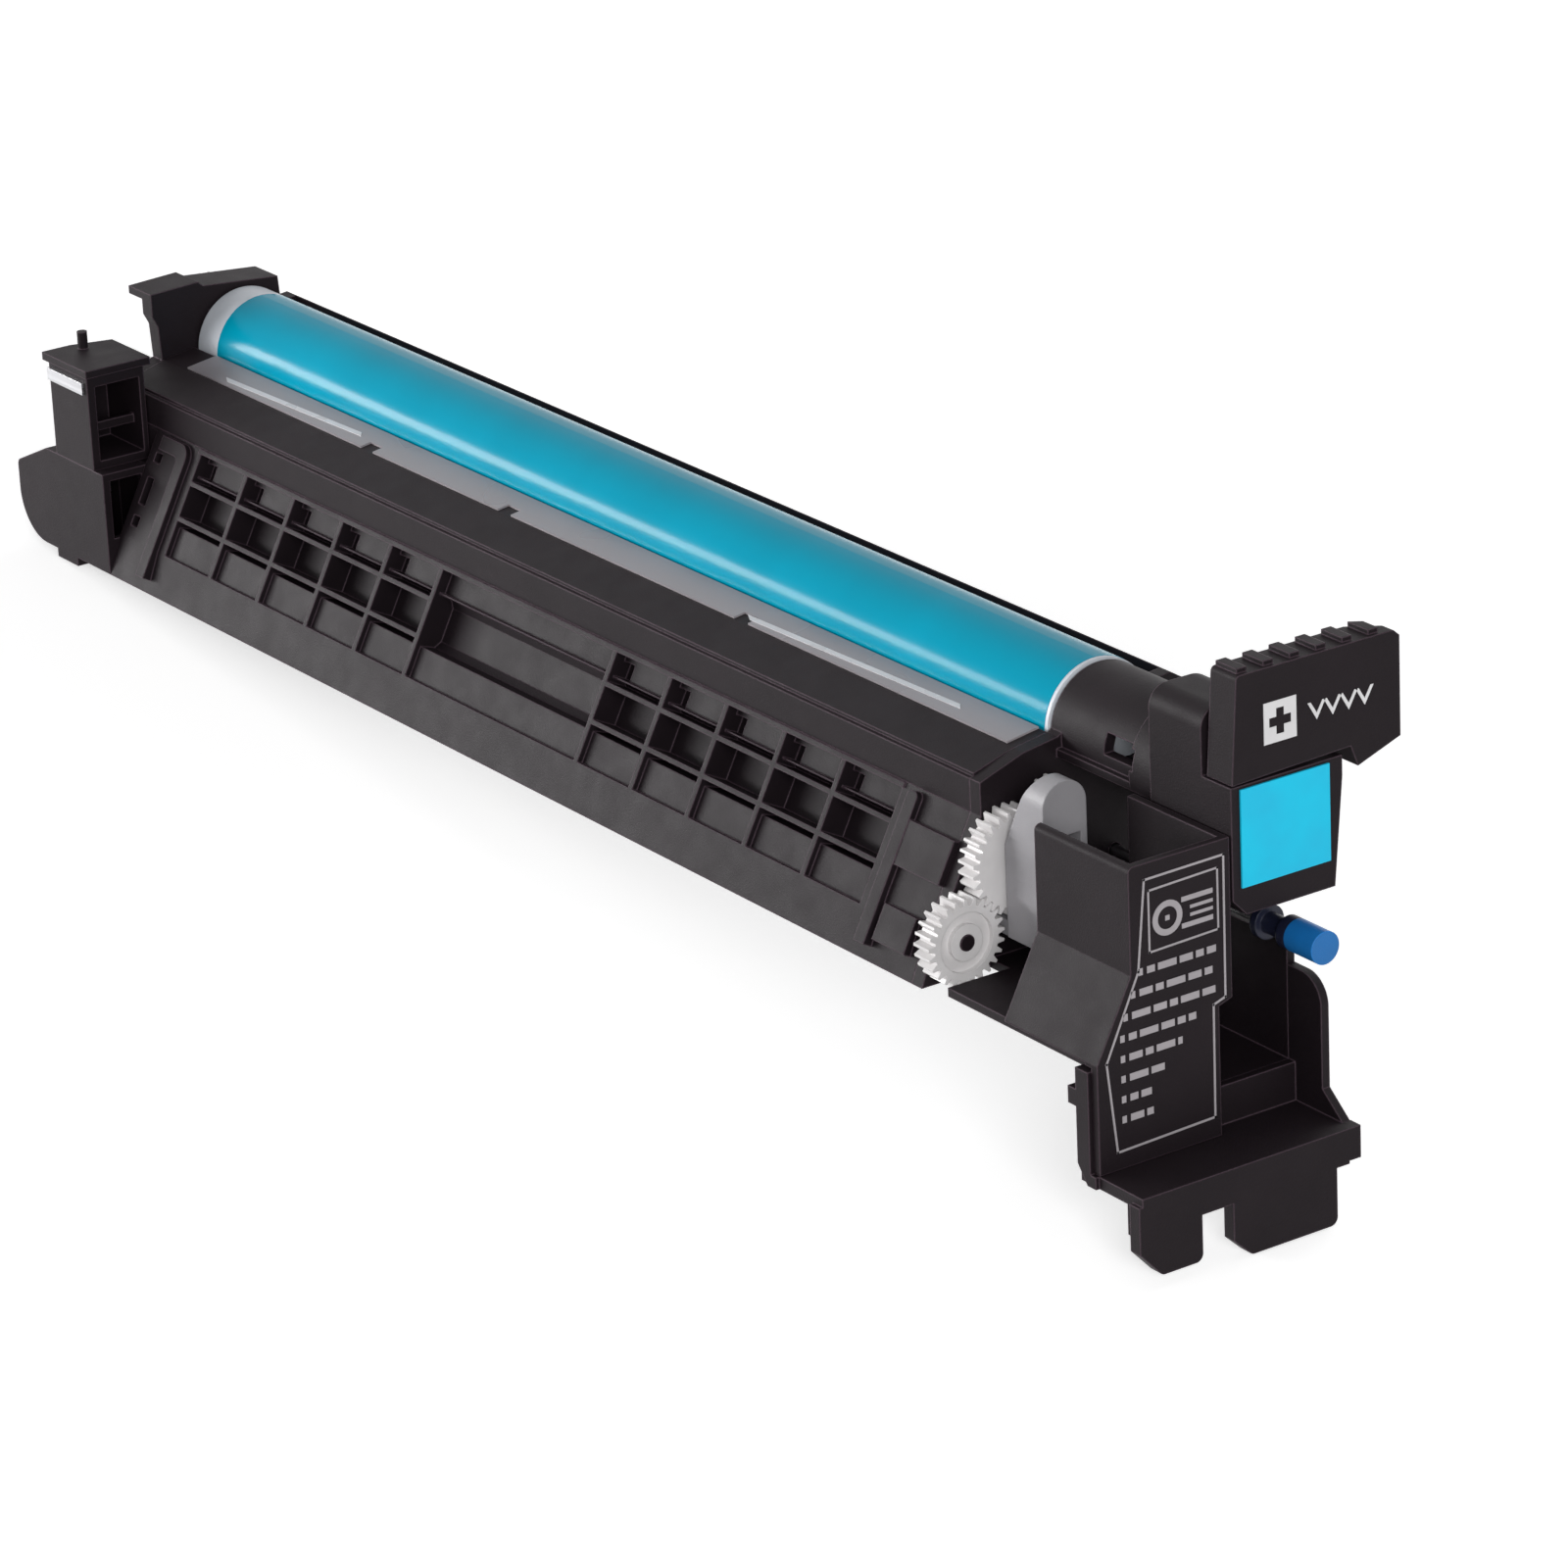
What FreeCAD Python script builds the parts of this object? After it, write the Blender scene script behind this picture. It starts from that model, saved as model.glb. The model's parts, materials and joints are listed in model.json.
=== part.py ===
"""Imaging cartridge of a colour laser printer: drum, developer, charger, cleaner and their housings.

Lengths are in millimetres. The working datum is the front-left top corner of the front foot's shelf:
x runs right across the front, y towards the rear along the drum, z up. export() then moves every piece
so that the origin is the middle of the cartridge's box in x and y, at the height of the feet.
"""

import FreeCAD, Part
import os
from math import acos, cos, hypot, radians, sin, tan

V = FreeCAD.Vector
ALONG = V(0, 1, 0)
ACROSS = V(1, 0, 0)
UPWARD = V(0, 0, 1)

# Overall box, in the working datum
REAR = 505.0
FOOT_DEPTH = 22.7

# Fits
RUN_GAP = 0.05
SHEET = 2.0

# Axes that run along the cartridge, as (x, z)
DRUM = (56.5, 75.0)
DRUM_R = 15.0
SLEEVE_R = 8.0
SLEEVE_REACH = 23.6
SLEEVE_ANGLE = 212.0

# Gears: one module for the whole train, with a little backlash
MODULE = 0.8
BACKLASH = 0.06
DRUM_TEETH = 34
WASTE_TEETH = 24
SLEEVE_TEETH = 12
IDLER_TEETH = 30
INPUT_TEETH = 25
SLEEVE_REAR_TEETH = 23
STIR_TEETH = 20
FEED_TEETH = 18
IDLER_ANGLE = 221.4
INPUT_ANGLE = 226.2
STIR_ANGLE = -84.4
FEED_ANGLE = 194.0
WASTE_ANGLE = -33.7

# Journals and bushes
POST_R = 2.0
SLEEVE_FRONT_R = 3.0
SLEEVE_REAR_R = 4.0
MAGNET_SHAFT_R = 2.0
FRONT_JOURNAL_R = 6.0
REAR_JOURNAL_R = 8.0
FRONT_BUSH = 8.0
REAR_BUSH = 10.4
DRIVE_BORE_R = 4.0
SCREW_SQUARE = 1.7

# Stations along the cartridge
FRONT_WALL = 82.0
FRONT_WALL_END = 86.0
DRUM_FRONT = 88.0
SIDE_END = 457.0
DRUM_COAT_END = 463.0
DRUM_END = 473.0
REAR_WALL = 474.0
REAR_WALL_END = 479.0
FRONT_GEARS = 75.5
GEAR_WIDTH = 6.0
REAR_GEARS = 480.0
DRUM_GEARS = 488.0
DRIVE_END = DRUM_GEARS + GEAR_WIDTH + 4.0

# Slanted side of the developer housing
CORNER = (0.0, 24.2)
GRILLE_LOW = (4.2, 35.0)
GRILLE_TOP = (18.4, 62.0)
COVER_TOP = (18.4, 70.3)
FILM_LOW = (31.0, 74.5)
FILM_TOP = (40.8, 75.9)
NOTCHES = (197.0, 303.0, 369.5)
HOUSING_RIGHT = 46.5

# Ribbed windows of the housing: two banks of cells and an open middle
WINDOW_FRONT = 111.0
CELL = 24.3
CELLS = 5
MIDDLE = 80.0
RIB = 1.6
LOW_DEPTH = 1.6
TOP_DEPTH = 3.2
NOTCH_DEPTH = 5.4
NOTCH = 5.5
CAVITY_DEPTH = 7.2
LOW_STRIP = 8.0
TOP_STRIP = 23.0
TOP_LIP = 1.6
UNDERSIDE_BAY = 42.0

# Stirring screws
SCREW_R = 4.8
SCREW_SHAFT_R = 2.4
SCREW_BORE_R = 5.8
PADDLE_PITCH = 46.0
PADDLE_LEAN = 38.0

# Charger under the drum
CHARGER_X0 = 47.6
CHARGER_X1 = 65.4
CHARGER_Z0 = 40.4
CHARGER_Z1 = 58.2
CLEANER_ROD = (56.5, 43.6)
CLEANER_ROD_R = 1.5
KNOB_FRONT = 4.5
PAD_FRONT = 450.0

# Front pieces
PANEL = 15.5
LEG = 3.6
LEVER_DEPTH = 9.0
EAR_FRONT = 26.0
COVER_REAR = 50.0
COLUMN_REAR = 45.0
EAR_TOP = 99.2
LEVER_PIVOT = (47.2, 93.0)
LEVER_PIN_R = 2.0
GUIDE_PIN = (64.0, 38.0)

parts = {}


def polar(centre, reach, angle):
    """Point at a distance and an angle in degrees from a centre."""
    return (centre[0] + reach * cos(radians(angle)), centre[1] + reach * sin(radians(angle)))


def centre_distance(teeth_a, teeth_b):
    """Distance between the axes of two meshing gears."""
    return MODULE * (teeth_a + teeth_b) / 2 + BACKLASH


SLEEVE = polar(DRUM, SLEEVE_REACH, SLEEVE_ANGLE)
IDLER = polar(SLEEVE, centre_distance(SLEEVE_TEETH, IDLER_TEETH), IDLER_ANGLE)
INPUT = polar(IDLER, centre_distance(IDLER_TEETH, INPUT_TEETH), INPUT_ANGLE)
STIR = polar(SLEEVE, centre_distance(SLEEVE_REAR_TEETH, STIR_TEETH), STIR_ANGLE)
FEED = polar(STIR, centre_distance(STIR_TEETH, FEED_TEETH), FEED_ANGLE)
WASTE = polar(DRUM, centre_distance(DRUM_TEETH, WASTE_TEETH), WASTE_ANGLE)


def box(x0, x1, y0, y1, z0, z1):
    """Block between two corners."""
    return Part.makeBox(x1 - x0, y1 - y0, z1 - z0, V(x0, y0, z0))


def rod(axis, radius, y0, y1):
    """Cylinder that runs along the cartridge."""
    return Part.makeCylinder(radius, y1 - y0, V(axis[0], y0, axis[1]), ALONG)


def ring(axis, outer, inner, y0, y1):
    """Tube that runs along the cartridge."""
    return rod(axis, outer, y0, y1).cut(rod(axis, inner, y0 - 1, y1 + 1))


def square_bar(axis, half, y0, y1):
    """Square bar that runs along the cartridge."""
    return box(axis[0] - half, axis[0] + half, y0, y1, axis[1] - half, axis[1] + half)


def outline(corners, radii=None):
    """Closed face from flat corners; radii maps a corner's index to its rounding."""
    radii = radii or {}
    points = [V(*corner) for corner in corners]
    count = len(points)
    starts, ends, arcs = [], [], {}
    for i, corner in enumerate(points):
        radius = radii.get(i, 0)
        if not radius:
            starts.append(corner)
            ends.append(corner)
            continue
        back = (points[i - 1] - corner).normalize()
        ahead = (points[(i + 1) % count] - corner).normalize()
        half = acos(max(-1, min(1, back.dot(ahead)))) / 2
        reach = radius / tan(half)
        middle = corner + (back + ahead).normalize() * (radius / sin(half))
        starts.append(corner + back * reach)
        ends.append(corner + ahead * reach)
        arcs[i] = middle + (corner - middle).normalize() * radius
    edges = []
    for i in range(count):
        if i in arcs:
            edges.append(Part.Arc(starts[i], arcs[i], ends[i]).toShape())
        after = starts[(i + 1) % count]
        if (after - ends[i]).Length > 1e-6:
            edges.append(Part.LineSegment(ends[i], after).toShape())
    return Part.Face(Part.Wire(edges))


def prism(corners, y0, y1, radii=None):
    """Outline in x and z, carried along y."""
    return outline([(x, y0, z) for x, z in corners], radii).extrude(V(0, y1 - y0, 0))


def prism_x(corners, x0, x1, radii=None):
    """Outline in y and z, carried across."""
    return outline([(x0, y, z) for y, z in corners], radii).extrude(V(x1 - x0, 0, 0))


def prism_z(corners, z0, z1, radii=None):
    """Outline in x and y, carried up."""
    return outline([(x, y, z0) for x, y in corners], radii).extrude(V(0, 0, z1 - z0))


def on_slant(up, depth):
    """Point on the housing's slanted side: distance up from the grille's lower edge, and depth inward."""
    run = hypot(GRILLE_TOP[0] - GRILLE_LOW[0], GRILLE_TOP[1] - GRILLE_LOW[1])
    ux = (GRILLE_TOP[0] - GRILLE_LOW[0]) / run
    uz = (GRILLE_TOP[1] - GRILLE_LOW[1]) / run
    return (GRILLE_LOW[0] + ux * up + uz * depth, GRILLE_LOW[1] + uz * up - ux * depth)


SLANT = hypot(GRILLE_TOP[0] - GRILLE_LOW[0], GRILLE_TOP[1] - GRILLE_LOW[1])


def slant_plate(corners, depth0, depth1, radii=None):
    """Plate square to the slanted side, from an outline in y and distance up."""
    surface = V(on_slant(0, 0)[0], 0, on_slant(0, 0)[1])
    inward = V(on_slant(0, 1)[0], 0, on_slant(0, 1)[1]) - surface
    points = []
    for y, up in corners:
        x, z = on_slant(up, depth0)
        points.append((x, y, z))
    return outline(points, radii).extrude(inward * (depth1 - depth0))


def slant_block(y0, y1, low, high, depth0, depth1, radii=None):
    """Rectangular plate on the slanted side."""
    return slant_plate([(y0, low), (y0, high), (y1, high), (y1, low)], depth0, depth1, radii)


def gear_blank(teeth, y0, width, axis, phase):
    """Spur gear with straight flanks; a tooth's middle lies at the phase angle, seen in x and z."""
    pitch_r = MODULE * teeth / 2
    tip_r = pitch_r + MODULE
    root_r = pitch_r - 1.2 * MODULE
    step = 360.0 / teeth
    corners = []
    for k in range(teeth):
        middle = phase + k * step
        corners.append(polar(axis, root_r, middle - 0.36 * step))
        corners.append(polar(axis, tip_r, middle - 0.12 * step))
        corners.append(polar(axis, tip_r, middle + 0.12 * step))
        corners.append(polar(axis, root_r, middle + 0.36 * step))
    return prism(corners, y0, y0 + width)


def meshed_phase(teeth, partner_teeth, partner_phase, angle_to_partner):
    """Tooth angle that puts a gear in mesh with a partner that lies in a given direction."""
    facing = angle_to_partner + 180.0
    return angle_to_partner - (partner_teeth / teeth) * (partner_phase - facing) + 180.0 / teeth


SLEEVE_PHASE = 0.0
IDLER_PHASE = meshed_phase(IDLER_TEETH, SLEEVE_TEETH, SLEEVE_PHASE, IDLER_ANGLE - 180)
INPUT_PHASE = meshed_phase(INPUT_TEETH, IDLER_TEETH, IDLER_PHASE, INPUT_ANGLE - 180)
SLEEVE_REAR_PHASE = 0.0
STIR_PHASE = meshed_phase(STIR_TEETH, SLEEVE_REAR_TEETH, SLEEVE_REAR_PHASE, STIR_ANGLE + 180)
FEED_PHASE = meshed_phase(FEED_TEETH, STIR_TEETH, STIR_PHASE, FEED_ANGLE - 180)
DRUM_PHASE = 0.0
WASTE_PHASE = meshed_phase(WASTE_TEETH, DRUM_TEETH, DRUM_PHASE, WASTE_ANGLE + 180)


def window_ribs():
    """Stations of the housing's upright ribs, front bank then rear bank."""
    front = [WINDOW_FRONT + CELL * k for k in range(CELLS + 1)]
    rear_start = front[-1] + MIDDLE
    return front + [rear_start + CELL * k for k in range(CELLS + 1)]


def developer_housing():
    """Trough for both stirring screws and the sleeve, with the ribbed window in its slanted side."""
    body = prism(
        [CORNER, GRILLE_LOW, GRILLE_TOP, (HOUSING_RIGHT, GRILLE_TOP[1]), (HOUSING_RIGHT, CORNER[1])],
        FRONT_WALL_END, REAR_WALL,
    )
    # Room for the rear cover and the tower
    body = body.cut(box(-1, 14.2, SIDE_END, REAR_WALL + 1, 20, 63))
    body = body.cut(box(-1, 18.0, SIDE_END, REAR_WALL + 1, 52.2, 63))
    # Bores, open to both end walls
    front, rear = FRONT_WALL_END - 1, REAR_WALL + 1
    body = body.cut(rod(FEED, SCREW_BORE_R, front, rear))
    body = body.cut(rod(STIR, SCREW_BORE_R, front, rear))
    body = body.cut(rod(SLEEVE, SLEEVE_R + 1.0, front, rear))
    body = body.cut(box(STIR[0] - 4, STIR[0] + 4, front, rear, STIR[1], SLEEVE[1] - 6))
    body = body.cut(box(SLEEVE[0], HOUSING_RIGHT + 1, front, rear, 58, 63))
    for y0 in (FRONT_WALL_END + 3, REAR_WALL - 25):
        body = body.cut(box(FEED[0], STIR[0], y0, y0 + 22, 39.5, 45.5))
    # Slot of the metering blade
    body = body.cut(box(23.9, 29.5, FRONT_WALL_END + 3, REAR_WALL - 3, 57.0, 58.9))
    for bay in open_bays():
        body = body.cut(bay)
    body = body.cut(window_channel())
    body = body.fuse(window_trim())
    # Long hole and two small ones in the plate behind the window
    hole_y = window_ribs()[-1] + 16.5
    for low, high in ((3.4, 6.4), (9.6, 17.4), (21.6, 24.4)):
        body = body.cut(slant_block(hole_y, hole_y + 3.4, low, high, -1, 2.5))
    return body.removeSplitter()


def open_bays():
    """Hollows of the open underside, between cross ribs."""
    length = SIDE_END - FRONT_WALL_END - SHEET
    count = int(length / UNDERSIDE_BAY)
    hollow = [(2.9, CORNER[1] - 1), (6.6, 32.6), (14, 32.6), (30, 34.8), (44.5, 36.4), (44.5, CORNER[1] - 1)]
    bays = []
    for k in range(count):
        y0 = FRONT_WALL_END + SHEET + k * length / count
        bays.append(prism(hollow, y0, y0 + length / count - SHEET))
    return bays


def window_channel():
    """Room of the ribbed window: low strip, deep channel and top strip, less the ribs and rails."""
    ribs = window_ribs()
    first, last = ribs[0], ribs[-1]
    middle_front, middle_rear = ribs[CELLS], ribs[CELLS + 1]
    top = SLANT - TOP_LIP
    channel = slant_block(first, last, 0, top, -1, LOW_DEPTH)
    channel = channel.fuse(slant_block(first, last, TOP_STRIP, top, 0, TOP_DEPTH))
    deep = [on_slant(LOW_STRIP, -1), on_slant(LOW_STRIP + 1.0, CAVITY_DEPTH - 1.4),
            on_slant(LOW_STRIP + 3.0, CAVITY_DEPTH), on_slant(TOP_STRIP - 3.0, CAVITY_DEPTH),
            on_slant(TOP_STRIP - 1.0, CAVITY_DEPTH - 1.4), on_slant(TOP_STRIP, -1)]
    channel = channel.fuse(prism(deep, first, last))
    # A notch at the rear end of every cell's top strip
    for station in ribs[1:CELLS + 1] + ribs[CELLS + 2:]:
        channel = channel.fuse(slant_block(station - NOTCH, station, TOP_STRIP, top - 1.6, 0, NOTCH_DEPTH))
    for station in ribs:
        rib = slant_block(station - RIB / 2, station + RIB / 2, -5, SLANT + 5, -3, CAVITY_DEPTH + 3)
        channel = channel.cut(rib)
    for up in (LOW_STRIP + 2.0, TOP_STRIP - 3.0):
        for y0, y1 in ((first, middle_front), (middle_rear, last)):
            channel = channel.cut(slant_block(y0, y1, up, up + 1.2, -2, CAVITY_DEPTH + 2))
    return channel


def window_trim():
    """Raised parts around the window: top lip, end bars, front pad and catch."""
    ribs = window_ribs()
    first, last = ribs[0], ribs[-1]
    bar_top = SLANT - 1.0
    lip = slant_block(first, last, SLANT - TOP_LIP, SLANT - 0.3, -0.5, 0.5)
    front_bar = slant_block(first - 7.5, first - 3.5, -8, bar_top, -1.8, 1, {1: 1.5, 2: 1.5})
    bend = last + 3.0
    rear_bar = slant_plate(
        [(bend, -8), (bend, bar_top), (bend + 14, bar_top), (bend + 14, bar_top - 4), (bend + 4, bar_top - 4),
         (bend + 4, -8)],
        -1.8, 1, {1: 4.0, 4: 1.6},
    )
    pad = slant_block(FRONT_WALL_END, first - 7.5, 12, 23, -1.6, 1)
    catch = slant_block(FRONT_WALL_END + 3, first - 9.5, -6, 3, -1.6, 1)
    return lip.fuse([front_bar, rear_bar, pad, catch])


def developer_cover():
    """Top cover of the developer: upright band, groove, rising top and the lip beside the drum."""
    corners = [
        GRILLE_TOP, COVER_TOP, (COVER_TOP[0] + 1.2, COVER_TOP[1]),
        (COVER_TOP[0] + 1.2, COVER_TOP[1] + 0.9),
        FILM_LOW, FILM_TOP, (FILM_TOP[0], 69.0), (36.0, GRILLE_TOP[1]),
    ]
    cover = prism(corners, FRONT_WALL_END, REAR_WALL, {4: 1.0})
    cover = cover.cut(rod(SLEEVE, SLEEVE_R + 1.0, FRONT_WALL_END - 1, REAR_WALL + 1))
    return cover.removeSplitter()


def seal_film():
    """Thin film on the cover's top, with three notches in its lower edge."""
    run = hypot(FILM_TOP[0] - FILM_LOW[0], FILM_TOP[1] - FILM_LOW[1])
    nx = -(FILM_TOP[1] - FILM_LOW[1]) / run
    nz = (FILM_TOP[0] - FILM_LOW[0]) / run
    thick = 0.5
    low = (FILM_LOW[0] + 0.6 * nz, FILM_LOW[1] - 0.6 * nx)
    film = prism(
        [low, FILM_TOP, (FILM_TOP[0] + nx * thick, FILM_TOP[1] + nz * thick),
         (low[0] + nx * thick, low[1] + nz * thick)],
        FRONT_WALL_END + 3, REAR_WALL - 12,
    )
    for y0 in NOTCHES:
        film = film.cut(box(low[0] - 2, low[0] + 3.2, y0 - 3, y0 + 3, 70, 80))
    return film


def metering_blade():
    """Steel strip that meters toner onto the sleeve."""
    return box(24.0, 29.2, FRONT_WALL_END + 4, REAR_WALL - 4, 57.1, 58.8)


def developer_sleeve():
    """Aluminium sleeve that carries toner to the drum, with its two end journals."""
    y0, y1 = 92.0, 468.0
    hole = MAGNET_SHAFT_R + 0.2
    tube = ring(SLEEVE, SLEEVE_R, 7.2, y0, y1)
    tube = tube.fuse(ring(SLEEVE, 7.3, hole, y0, y0 + 2))
    tube = tube.fuse(ring(SLEEVE, SLEEVE_FRONT_R, hole, FRONT_GEARS, y0 + 1))
    tube = tube.fuse(rod(SLEEVE, 7.3, y1 - 2, y1))
    tube = tube.fuse(rod(SLEEVE, SLEEVE_REAR_R, y1 - 1, REAR_GEARS + GEAR_WIDTH))
    return tube.removeSplitter()


def magnet_core():
    """Fixed magnet inside the sleeve, on a shaft held by the gear bracket."""
    core = rod(SLEEVE, 6.8, 95.0, 465.0)
    return core.fuse(rod(SLEEVE, MAGNET_SHAFT_R, 72.0, 96.0)).removeSplitter()


def paddle_screw(axis, tail):
    """Mixing screw: square shaft, leaning paddles a quarter turn apart, round journals and a square end."""
    start = FRONT_WALL_END + 9
    end = REAR_WALL - 9
    screw = square_bar(axis, SCREW_SQUARE, start, end)
    count = int((end - start) / PADDLE_PITCH)
    for k in range(count):
        paddle = box(-SCREW_R, SCREW_R, -0.6, 0.6, -2.0, 2.0)
        paddle.rotate(V(0, 0, 0), ACROSS, PADDLE_LEAN)
        paddle.rotate(V(0, 0, 0), ALONG, 90 * k)
        paddle.translate(V(axis[0], start + (k + 0.5) * PADDLE_PITCH, axis[1]))
        screw = screw.fuse(paddle)
    screw = screw.fuse(rod(axis, SCREW_SHAFT_R, FRONT_WALL_END - 2.6, start))
    screw = screw.fuse(rod(axis, SCREW_SHAFT_R, end, REAR_WALL_END + 0.4))
    return screw.fuse(square_bar(axis, SCREW_SQUARE, REAR_WALL_END, tail))


def train_gear(teeth, axis, phase, y0, bore):
    """Gear with a round bore, for a journal or a post."""
    gear = gear_blank(teeth, y0, GEAR_WIDTH, axis, phase)
    return gear.cut(rod(axis, bore, y0 - 1, y0 + GEAR_WIDTH + 1))


def screw_gear(teeth, axis, phase, y0):
    """Gear keyed on the square end of a mixing screw."""
    gear = gear_blank(teeth, y0, GEAR_WIDTH, axis, phase)
    return gear.cut(square_bar(axis, SCREW_SQUARE, y0 - 1, y0 + GEAR_WIDTH + 1))


def input_gear():
    """Gear that the machine drives, with a sunken web in its front."""
    gear = train_gear(INPUT_TEETH, INPUT, INPUT_PHASE, FRONT_GEARS, POST_R + RUN_GAP)
    rim = MODULE * INPUT_TEETH / 2 - 2.6
    return gear.cut(ring(INPUT, rim, 4.5, FRONT_GEARS - 1, FRONT_GEARS + 1.4))


def drum_tube():
    """Coated aluminium tube."""
    return ring(DRUM, DRUM_R, DRUM_R - 0.8, DRUM_FRONT, DRUM_COAT_END)


def drum_front_flange():
    """Front plug and journal of the drum."""
    flange = rod(DRUM, DRUM_R - 0.1, DRUM_FRONT - 1.2, DRUM_FRONT)
    return flange.fuse(rod(DRUM, FRONT_JOURNAL_R, FRONT_WALL - 6, DRUM_FRONT)).removeSplitter()


def drum_rear_flange():
    """Rear collar of the drum, with its journal and the drive socket for the machine's shaft."""
    flange = rod(DRUM, DRUM_R, DRUM_COAT_END, DRUM_END)
    flange = flange.fuse(rod(DRUM, REAR_JOURNAL_R, DRUM_END, DRIVE_END))
    flange = flange.cut(rod(DRUM, DRIVE_BORE_R, DRUM_END + 1, DRIVE_END + 1))
    for k in range(3):
        slot = box(-1.6, 1.6, DRIVE_END - 3, DRIVE_END + 1, 2.0, REAR_JOURNAL_R + 1)
        slot.rotate(V(0, 0, 0), ALONG, 120 * k)
        slot.translate(V(DRUM[0], 0, DRUM[1]))
        flange = flange.cut(slot)
    return flange.removeSplitter()


def drum_bearing(y0, y1, journal_r, half):
    """Square bush that can't turn in its wall, for one of the drum's journals."""
    return square_bar(DRUM, half, y0, y1).cut(rod(DRUM, journal_r + RUN_GAP, y0 - 1, y1 + 1))


def cleaner_corners():
    """Outline of the cleaner's trough, right of the drum."""
    return [(74.0, 83.6), (80.0, 79.8), (86.0, 73.0), (86.0, 50.0), (80.0, 45.0), (67.6, 45.0), (67.6, 58.0),
            (68.4, 61.4)]


def end_plate(y0, y1, left):
    """Wall across the cartridge's end: behind the housing, the drum's round and the cleaner's outline."""
    low = prism(left + [(41.0, 75.9), (44.0, 78.0), (72.0, 76.0), (72.0, CORNER[1])], y0, y1)
    plate = low.fuse(rod(DRUM, DRUM_R - 0.5, y0, y1))
    side = prism([(68.0, CORNER[1]), (72.0, CORNER[1])] + cleaner_corners()[3::-1] + [(68.0, 83.0)], y0, y1)
    return plate.fuse(side)


def front_frame():
    """Front end wall, floor, gear posts and the stepped hood around the drum's front journal."""
    wall = end_plate(FRONT_WALL, FRONT_WALL_END, [CORNER, GRILLE_LOW, GRILLE_TOP, COVER_TOP, FILM_LOW])
    under = [(2, 24.2), (35, 24.2), (35, 7.3), (62, 7.3)]
    over = [(62, 38.6), (59.8, 38.6), (59.8, 9.5), (37.2, 9.5), (37.2, 26.4), (2, 26.4)]
    floor = prism(under + over, 22.6, FRONT_WALL)
    hood_front = COLUMN_REAR + 0.2
    hood_low = DRUM[1] - 4
    hood = ring(DRUM, DRUM_R - 0.5, 11.6, hood_front, FRONT_WALL)
    hood = hood.fuse(ring(DRUM, DRUM_R + 1.4, 11.6, hood_front, hood_front + 9))
    hood = hood.cut(box(30, 90, 40, 90, 40, hood_low))
    # Slot in the hood's left side, and the ledge under it
    hood = hood.cut(box(DRUM[0] - 20, DRUM[0] - 8, 53, 66, DRUM[1] + 1, DRUM[1] + 6))
    ledge = box(40.5, 44.0, hood_front, FRONT_WALL, hood_low, hood_low + 2)
    side = box(68.5, 71.0, hood_front, FRONT_WALL, 52.0, 72.0)
    frame = wall.fuse([floor, hood, ledge, side])
    # Room for the gears in front of the wall, then the posts that they run on
    frame = frame.cut(box(-1, 19.5, FRONT_GEARS - 1, FRONT_WALL, 23, 27))
    for axis in (IDLER, INPUT):
        frame = frame.fuse(rod(axis, POST_R, FRONT_GEARS - 0.3, FRONT_WALL + 1))
    frame = frame.cut(square_bar(DRUM, FRONT_BUSH, FRONT_WALL - 1, FRONT_WALL_END + 1))
    frame = frame.cut(rod(SLEEVE, SLEEVE_FRONT_R + RUN_GAP, FRONT_WALL - 1, FRONT_WALL_END + 1))
    for axis in (FEED, STIR, WASTE):
        frame = frame.cut(rod(axis, SCREW_SHAFT_R + RUN_GAP, FRONT_WALL_END - 3, FRONT_WALL_END + 1))
    frame = frame.cut(rod(CLEANER_ROD, CLEANER_ROD_R + 0.3, FRONT_WALL - 1, FRONT_WALL_END + 1))
    return frame.removeSplitter()


def front_foot():
    """Front foot: shelf, apron, two legs, side walls and the rounded gusset."""
    shelf = box(0, 62, 0, 22.5, -3, 0)
    apron = box(0, 59, 0, 3, -8.7, -2)
    left_leg = prism([(-1.0, -2), (-1.0, -13.5), (5.0, -20), (16.6, -20), (16.6, -2)], 0, LEG, {2: 2.0, 3: 2.0})
    right_leg = [(25.5, -2), (25.5, -18), (30.5, -FOOT_DEPTH), (55.3, -FOOT_DEPTH), (55.3, -2)]
    right_leg = prism(right_leg, 0, LEG, {2: 2.0, 3: 2.0})
    hook = prism([(57.0, 0), (57.0, -3), (59.0, -3), (59.0, -8), (62.3, -8), (62.3, 0)], 0, LEG)
    left_side = prism_x([(PANEL + 0.4, -3), (19.0, -3), (22.5, 1.5), (22.5, 25), (17.9, 25), (17.9, 0),
                         (PANEL + 0.4, 0)], -1.0, 1.5)
    right_side = prism_x([(0, -2.9), (22.5, -2.9), (22.5, 33), (10.5, 33), (10.5, 6)], 59.8, 62.0, {3: 7.0})
    back = box(1, 60, 20.2, 22.5, -3, 9.6)
    lug = box(-1.0, 1.5, 22.0, 25.4, 15.4, 19.6)
    stays = [box(x0, x0 + 2, 2, 15, -16, -2) for x0 in (7.0, 34.0, 47.0)]
    foot = shelf.fuse([apron, left_leg, right_leg, hook, left_side, right_side, back, lug] + stays)
    return foot.removeSplitter()


def front_cover():
    """Upright cover with the label field: open at the top and the rear, slanted on its left side."""
    outer = [(10, 72), (10, 46), (0, 27), (0, 0.2), (34.6, 0.2), (34.6, 32), (38.4, 33.2), (38.4, 72)]
    inner = [(12, 74), (12, 45.6), (2, 26.6), (2, -1), (32.6, -1), (32.6, 33.4), (36.4, 34.6), (36.4, 74)]
    cover = prism(outer, PANEL, COVER_REAR, {0: 1.5})
    cover = cover.cut(prism(inner, PANEL + SHEET, COVER_REAR + 1))
    cover = cover.cut(box(-2, 40, 20.0, COVER_REAR + 1, -1, 26.6))
    cover = cover.cut(box(-2, 3, 17.7, 23, -1, 26))
    return cover.removeSplitter()


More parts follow.
